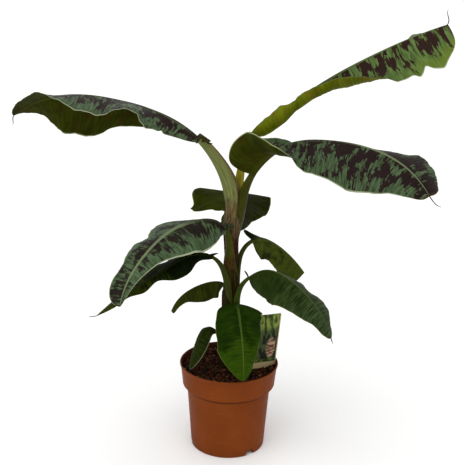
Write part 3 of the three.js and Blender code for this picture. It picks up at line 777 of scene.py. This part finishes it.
# small tears and teeth by leaf and side (1 is the left half, -1 the right one): the place along
# the blade, the length and the share of the width that a tear takes or a tooth adds
NICKS = {
    (1, 1): ((0.20, 0.012, -0.10), (0.27, 0.014, 0.08), (0.34, 0.012, -0.10)),
    (2, -1): ((0.775, 0.016, 0.07), (0.822, 0.018, -0.16), (0.895, 0.022, 0.07)),
    (4, 1): ((0.30, 0.02, 0.06), (0.42, 0.03, -0.20)),
    (8, 1): ((0.50, 0.03, 0.05), (0.33, 0.03, -0.06)),
    (10, 1): ((0.06, 0.006, -0.05), (0.085, 0.008, 0.04), (0.11, 0.006, -0.04)),
}


def blade_stations(leaf):
    """A column of shares along the blade: even, but closer just past the base and before the tip."""
    count = int(leaf["blade"] / ROW_SPACING)
    base = 0.03 * np.linspace(0, 1, 15)[:-1] ** 2
    tip = 1 - 0.02 * (1 - np.linspace(0, 1, 13)[1:]) ** 2
    tip[-1] = 1 - 1e-5
    return np.concatenate([base, np.linspace(0.03, 0.98, count), tip])[:, None]


def half_rows(leaf, s, side, seed, nicks):
    """Points of a half blade by station s, a column, and place out from the midrib, a row. Across
    the rib they keep their real distances; outside it they share the width that is left, which
    follows the outline s^a (1-s)^b, less or more at a nick. Each row is an arc that leaves the
    midrib at its slope and curls evenly, swept on towards the tip by the square of the place."""
    part = leaf["left"] if side > 0 else leaf["right"]
    base, tip = leaf["outline"]
    fullest = base / (base + tip)
    shape = (s / fullest) ** base * ((1 - s) / (1 - fullest)) ** tip
    rib = leaf["radius"][1] * (1 - s) ** 0.9 + 0.0004
    torn = 1 + sum(share * np.exp(-((s - at) / reach) ** 2) for at, reach, share in nicks)
    width = np.maximum(part["width"] * shape * eased(part["lobe"], s) * torn, rib * 1.03)
    inner = np.array([0, 0.3, 0.6, 0.85, 1.0])
    outer = 1 - (1 - np.linspace(0, 1, 17)[1:]) ** 1.15
    x = np.concatenate([rib * inner, rib + (width - rib) * outer], 1)
    v = x / width
    slope, curl = (np.radians(eased(part[key], s)) for key in ("slope", "curl"))
    curl = np.where(np.abs(curl) < 1e-3, 1e-3, curl)
    out = width * (np.sin(slope + curl * v) - np.sin(slope)) / curl
    rise = width * (np.cos(slope) - np.cos(slope + curl * v)) / curl
    u = share_at(leaf, leaf["stalk"] + leaf["blade"] * s)
    along, left, up = leaf_axes(leaf, u)
    points = leaf_course(leaf, u) + side * left * out[..., None]
    points = points + up * rise[..., None]
    points = points + along * (SWEEP * width * v**2)[..., None]
    length = leaf["blade"] * s
    phase = np.random.default_rng(seed).uniform(0, 2 * math.pi, 8)
    free = smooth(x, rib * 0.9, rib * 0.9 + 0.02)
    room = np.minimum(width / 0.06, 1)
    wave = sum(size * v**2 * np.sin(2 * math.pi * length / wide + 1.2 * v + phase[k])
               for k, (wide, size) in enumerate(WAVES))
    pleat = sum(size * free * (0.6 + 0.4 * np.sin(9 * length / leaf["blade"] + phase[k + 5]))
                * np.sin(2 * math.pi * length / wide + phase[k + 3])
                for k, (wide, size) in enumerate(PLEATS))
    lift = (wave * part["ripple"] * room + pleat) * smooth(s, 0.0, 0.05)
    vein = np.stack(np.broadcast_arrays(length, side * x, v), -1)
    return points, lift, x / rib, rib, vein


def normals(points):
    """The way out of a grid of points, square to its rows and columns."""
    turned = np.cross(np.gradient(points, axis=0), np.gradient(points, axis=1))
    return turned / np.maximum(np.linalg.norm(turned, axis=-1, keepdims=True), 1e-12)


def blade_skin(leaf, number, seed):
    """Both halves as rows from the right margin to the left one, moved along their normals by the
    waves, then thickened: the rib bulges below, and its groove and lips show above."""
    s = blade_stations(leaf)
    right, left = (half_rows(leaf, s, side, seed + (side > 0), NICKS.get((number, side), ()))
                   for side in (-1, 1))
    rib = right[3]
    rows, lift, q, vein = (np.concatenate([right[n][:, :0:-1], left[n]], 1) for n in (0, 1, 2, 4))
    rows = rows + normals(rows) * lift[..., None]
    up = leaf_axes(leaf, share_at(leaf, leaf["stalk"] + leaf["blade"] * s))[2]
    facing = np.where((q < 1.02)[..., None], up, normals(rows))
    rib_depth = rib * np.sqrt(np.clip(1 - q**2, 0, 1))
    rib_top = rib * channel(q) * (q < 1) * (1 - smooth(s, 0.0, 0.9))
    edge = np.clip((1 - np.abs(vein[..., 2])) / 0.02, 0.25, 1)
    top = rows + facing * (BLADE_THICKNESS / 2 * edge + rib_top)[..., None]
    bottom = rows - facing * (BLADE_THICKNESS / 2 * edge + rib_depth)[..., None]
    rings, veins, ribs = (np.concatenate([above, below[:, ::-1]], 1)
                          for above, below in ((top, bottom), (vein, vein), (q, q)))
    shares = np.stack(np.broadcast_arrays(s, ribs, 0.0), -1)
    return rings, veins, shares, np.arange(rings.shape[1]) >= rows.shape[1]


def vein_pattern(finish):
    """Coordinates that follow the veins, fine streaks along them, and the leaf's own places."""
    vein, share = finish.attribute("vein"), finish.attribute("leaf_share")
    place = finish.place()
    shift = finish.times(finish.noise(place, 9, 2), 4.0)
    drawn = finish.add("VectorMath", {0: vein, 1: finish.add("CombineXYZ", {2: shift})})
    streak = finish.noise(drawn, (950, 26, 1))
    return drawn, streak, finish.part(vein, "Z"), finish.part(share, "X"), finish.part(share, "Y")


def leaf_relief(finish, streak, drawn):
    """Fine veins as relief, with the softer cross pattern between them."""
    weave = finish.noise(drawn, (420, 190, 1))
    finish.bump(finish.plus(streak, finish.times(weave, 0.5)), 0.00035, 0.55)


def rib_and_edge(finish, base, out, share, rib, rib_colour, rib_from, rim, rib_wide=1.0,
                 rim_wide=0.02):
    """The midrib's colour, which fades in along the blade, the fine pale margin and the dry tip."""
    on_rib = finish.between(rib, 1.15 * rib_wide, 0.85 * rib_wide)
    seen = finish.times(on_rib, finish.between(share, rib_from, rib_from + 0.2, 0.12, 0.9))
    base = finish.mix(seen, base, rib_colour)
    base = finish.coat(base, rim, out, 0.986 - rim_wide, 1.002 - rim_wide)
    return finish.coat(base, (52, 36, 20), share, 0.985, 1.0)


def mottled_upper(name, green, deep, maroon, cover, rib_colour, rib_from=0.0, fray=0.045,
                  rim_wide=0.02, fine=1.0, long=1.0, thin=0.17, edge=None):
    """Sage leaf with maroon blotches drawn out along the veins: a broad pattern chooses the patches,
    narrower flecks and the vein streaks fray their edges, and they thin out at the margin. cover is
    how strong the pattern has to be for a blotch, fray how softly they end, fine how small and long
    how drawn out they are, and thin how much fewer there are towards the margin. edge is the
    colour the green turns to there, near the tip."""
    finish = Finish(name, Specular_IOR_Level=0.07)
    drawn, streak, out, share, rib = vein_pattern(finish)
    broad = finish.noise(drawn, (44 * fine, 24 * fine / long, 1), 3, 0.6)
    flecks = finish.noise(drawn, (230, 46 * fine / long, 1), 3, 0.6)
    frayed = fray - 0.045
    mark = finish.plus(finish.times(broad, 1.3), finish.times(flecks, 0.55))
    mark = finish.plus(mark, finish.times(streak, 0.24 + 2.4 * frayed))
    mark = finish.plus(mark, finish.between(out, 0.4, 0.95, 0.0, -thin))
    middle = cover + 0.172 + 1.2 * frayed
    blotch = finish.between(mark, middle - fray / 2, middle + fray / 2)
    tone = finish.times(finish.plus(streak, flecks), 0.5)
    leafy = finish.coat(deep, green, tone, 0.62, 0.36)
    if edge:
        turned = finish.times(finish.between(out, 0.5, 1.0), finish.between(share, 0.6, 0.95))
        leafy = finish.mix(finish.times(turned, 0.75), leafy, edge)
    darker = [int(level * 0.7) for level in maroon]
    wine = finish.coat(darker, maroon, streak, 0.35, 0.7)
    base = finish.mix(blotch, leafy, wine)
    finish.colour(rib_and_edge(finish, base, out, share, rib, rib_colour, rib_from, (148, 154, 124),
                               rim_wide=rim_wide))
    finish.roughness(finish.between(streak, 0.3, 0.7, 0.42, 0.54))
    leaf_relief(finish, streak, drawn)
    return finish.material


def plain_side(name, light, dark, rib_colour, tinge=None, rim=(84, 92, 44), gloss=0.015,
               rib_wide=1.0, end=None, streaks=0.6, right=None, rim_wide=0.02):
    """Unblotched leaf: two close greens in streaks along the veins and in slow patches, a paler
    midrib and margin, and sometimes a warm tinge in patches. end is a dark and a light colour that
    it turns to from the middle of its length to its tip, ageing on some leaves and painted sheen on
    others, and right the two greens of its right half if they differ."""
    finish = Finish(name, Specular_IOR_Level=gloss)
    drawn, streak, out, share, rib = vein_pattern(finish)
    patch = finish.noise(drawn, (30, 20, 1))
    tone = finish.plus(finish.times(streak, streaks), finish.times(patch, 1.1 - streaks))
    base = finish.coat(dark, light, tone, 0.42, 0.66)
    if right:
        other = finish.coat(*right, tone, 0.42, 0.66)
        base = finish.coat(base, other, finish.part(drawn, "Y"), 0.001, -0.001)
    if tinge:
        warm = finish.noise(drawn, (70, 14, 1))
        base = finish.coat(base, tinge, warm, 0.5, 0.72, 0.6)
    # paler towards the tip: ageing on some leaves, painted sheen on others
    if end:
        turned = finish.plus(share, finish.times(tone, 1.4))
        aged_and_sheen = finish.coat(*end, streak, 0.42, 0.62)
        base = finish.coat(base, aged_and_sheen, turned, 1.2, 1.55)
    finish.colour(rib_and_edge(finish, base, out, share, rib, rib_colour, 0.0, rim, rib_wide,
                               rim_wide))
    finish.roughness(finish.between(streak, 0.3, 0.7, 0.46, 0.58))
    leaf_relief(finish, streak, drawn)
    return finish.material


olive_under = plain_side("olive_under", (50, 56, 6), (32, 36, 1), (60, 64, 18), (50, 34, 6),
                         rim=(138, 144, 104))
dull_under = plain_side("dull_under", (52, 60, 12), (34, 42, 2), (60, 68, 22))
wing_under = plain_side("wing_under", (55, 62, 5), (33, 39, 1), (58, 64, 8), rim=(78, 86, 30),
                        right=((18, 22, 1), (44, 50, 8)))

# for each leaf, its upper side and its underside
BLADE_FINISHES = [
    (mottled_upper("mottled_far", (80, 100, 70), (46, 58, 36), (38, 23, 21), 0.80, (66, 70, 48),
                   fray=0.10, fine=1.2), olive_under),
    (mottled_upper("mottled_fresh", (92, 116, 62), (54, 72, 26), (46, 24, 17), 0.835, (84, 98, 60),
                   fine=1.25, long=2.2, thin=0.27, edge=(94, 112, 26)),
     plain_side("fresh_under", (102, 110, 16), (72, 82, 6), (100, 106, 26), (104, 72, 24))),
    (mottled_upper("mottled_blue", (76, 96, 64), (38, 50, 28), (34, 19, 17), 0.81, (104, 116, 82),
                   rib_from=0.5, fine=1.25), olive_under),
    (wing_under, wing_under),
    (mottled_upper("mottled_dusk", (78, 100, 68), (42, 55, 32), (33, 25, 18), 0.84, (106, 118, 84),
                   rib_from=0.2, fray=0.15, rim_wide=0.045), olive_under),
    (plain_side("shadow_green", (18, 27, 7), (8, 14, 1), (36, 44, 16),
                end=((30, 36, 3), (60, 70, 6))), dull_under),
    # leaf 7: the near-black greens are painted shade in the fold of its left half, the right half is
    # lighter, and the paler tip is painted sheen
    (plain_side("shade_and_sheen_green", (28, 36, 8), (12, 18, 2), (62, 74, 28), gloss=0.03, streaks=0.4,
                end=((46, 54, 8), (66, 76, 20)), right=((18, 23, 2), (62, 72, 14))), dull_under),
    # leaf 8: the paler grey-green streaks towards the tip are painted sheen
    (plain_side("deep_green", (41, 55, 15), (15, 28, 3), (74, 86, 46), gloss=0.03, rib_wide=0.55,
                streaks=0.75, end=((22, 37, 9), (62, 78, 43))), dull_under),
    (plain_side("dusk_green", (48, 55, 7), (24, 29, 1), (40, 46, 8)), dull_under),
    (plain_side("bright_green", (32, 54, 4), (16, 34, 1), (66, 86, 32), rib_wide=0.6,
                end=((35, 56, 3), (47, 70, 7))), dull_under),
    (plain_side("night_green", (36, 46, 10), (15, 22, 3), (38, 46, 14), rim=(92, 100, 66),
                streaks=0.8, rim_wide=0.07), dull_under),
]

for number, (leaf, finishes) in enumerate(zip(LEAVES, BLADE_FINISHES), 1):
    blade_points, blade_veins, blade_shares, lower = blade_skin(leaf, number, 100 + 10 * number)
    blade = wrapped(f"leaf_blade_{number}", blade_points, finishes, lower,
                    vein=blade_veins, leaf_share=blade_shares)
    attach(blade, "root")
    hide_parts(f"blade_{number}")
    if number == 2:
        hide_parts("roll_2")


# ---------------------------------------------------------------- the dried ends
# Where a leaf has withered it is thin, brown and brittle: the thread that a young leaf's tip ends
# in, and the small ears left where a blade's base ran down onto its stalk. One ear is still green.

# for each: its leaf, the share along the blade where it starts, its length, its pitch and turn
# along it in degrees, and its half width; the last one is the green ear
DRIED_ENDS = [
    (1, 0.998, 0.020, (-50, -95, -70), 185, 0.0009), (2, 0.998, 0.030, (60, 110, 75), 0, 0.0009),
    (3, 0.995, 0.032, (-50, -48, -10), -10, 0.0010), (8, 0.995, 0.014, (-80, -60), -20, 0.0010),
    (6, 0.995, 0.016, (-10, 10), 200, 0.0010), (1, 0.03, 0.034, (-26, -10, -4), -30, 0.0085),
    (1, -0.02, 0.024, (20, -6, 14), -40, 0.0030), (6, 0.02, 0.017, (14, 8), 20, 0.0030),
    (8, -0.01, 0.017, (75, 40), 165, 0.0034), (5, 0.035, 0.024, (6, -4), -14, 0.0062),
]


def dried_rings(leaf, at, length, pitch, turn, half_width):
    """A flat strip carried from its leaf along its own bends. Its half width falls as (1 - t)^0.6 and
    it twists a little; it is closed to a point."""
    start = leaf_course(leaf, share_at(leaf, leaf["stalk"] + leaf["blade"] * at))
    t = np.linspace(0, 1, 40)[:, None]
    along, side, rise = leaf_axes({"pitch": pitch, "turn": turn}, t)
    place = start + np.cumsum(along, axis=0) * length / len(t)
    twist = (0.6 + 1.2 * t)[..., None]
    across = side * np.cos(twist) + rise * np.sin(twist)
    through = np.cross(along, across)
    angle = np.linspace(0, 2 * math.pi, 13)[:-1]
    wide = half_width * (1 - t) ** 0.6 + 0.0003
    thick = np.minimum(wide, 0.0006)
    return (place + across * (wide * np.cos(angle))[..., None]
            + through * (thick * np.sin(angle))[..., None])


def dried_finish(name, dark, light):
    """Dull, with darker streaks."""
    finish = Finish(name, Roughness=0.85, Specular_IOR_Level=0.02)
    streak = finish.noise(finish.place(), 300)
    finish.colour(finish.coat(dark, light, streak, 0.4, 0.6))
    return finish.material


withered = dried_finish("dried_leaf", (32, 34, 10), (60, 52, 30))
fresh_ear = dried_finish("fresh_ear", (30, 34, 22), (52, 64, 40))
for number, (leaf_number, *sizes) in enumerate(DRIED_ENDS, 1):
    dried = wrapped(f"dried_end_{number}", dried_rings(LEAVES[leaf_number - 1], *sizes),
                    withered if number < len(DRIED_ENDS) else fresh_ear)
    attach(dried, "root")


# ---------------------------------------------------------------- the stage
# A wide pale floor, even light from all round, one broad soft sun from the upper front left, and
# the camera a little above the plant, tipped down to it.

FLOOR_REACH = 30.0
ROOM_LIGHT = 0.92
SUN = {"strength": 1.1, "softness": 60, "tilt": 38, "swing": -22}
CAMERA = {"place": (0.0007, -1.989, 1.127), "down": 18.03, "roll": 1.2, "lens": 78.8}


def pale_floor():
    """A level sheet far larger than the view."""
    finish = Finish("pale_floor", Roughness=0.9, Specular_IOR_Level=0.1)
    soft = finish.noise(finish.place(), 0.6, 2)
    finish.colour(finish.mix(soft, (247, 247, 246), (250, 250, 249)))
    mesh = bpy.data.meshes.new("floor")
    corners = [(x * FLOOR_REACH, y * FLOOR_REACH, 0) for x, y in ((-1, -1), (1, -1), (1, 1), (-1, 1))]
    mesh.from_pydata(corners, [], [(0, 1, 2, 3)])
    mesh.materials.append(finish.material)
    return placed("floor", mesh)


pale_floor()

world = bpy.data.worlds.new("soft_room")
world.use_nodes = True
surround = world.node_tree.nodes["Background"].inputs
surround["Color"].default_value = (1, 1, 1, 1)
surround["Strength"].default_value = ROOM_LIGHT
bpy.context.scene.world = world

sun = bpy.data.lights.new("soft_sun", "SUN")
sun.energy = SUN["strength"]
sun.angle = math.radians(SUN["softness"])
placed("soft_sun", sun).rotation_euler = (math.radians(SUN["tilt"]), 0, math.radians(SUN["swing"]))

lens = bpy.data.cameras.new("camera")
lens.lens = CAMERA["lens"]
lens.sensor_width = 36
lens.clip_end = 100
camera = placed("camera", lens)
facing = (Matrix.Rotation(math.radians(90 - CAMERA["down"]), 4, "X")
          @ Matrix.Rotation(math.radians(CAMERA["roll"]), 4, "Z"))
camera.matrix_world = Matrix.Translation(CAMERA["place"]) @ facing
bpy.context.scene.camera = camera
bpy.context.scene.view_settings.view_transform = "Standard"

bpy.context.view_layer.update()
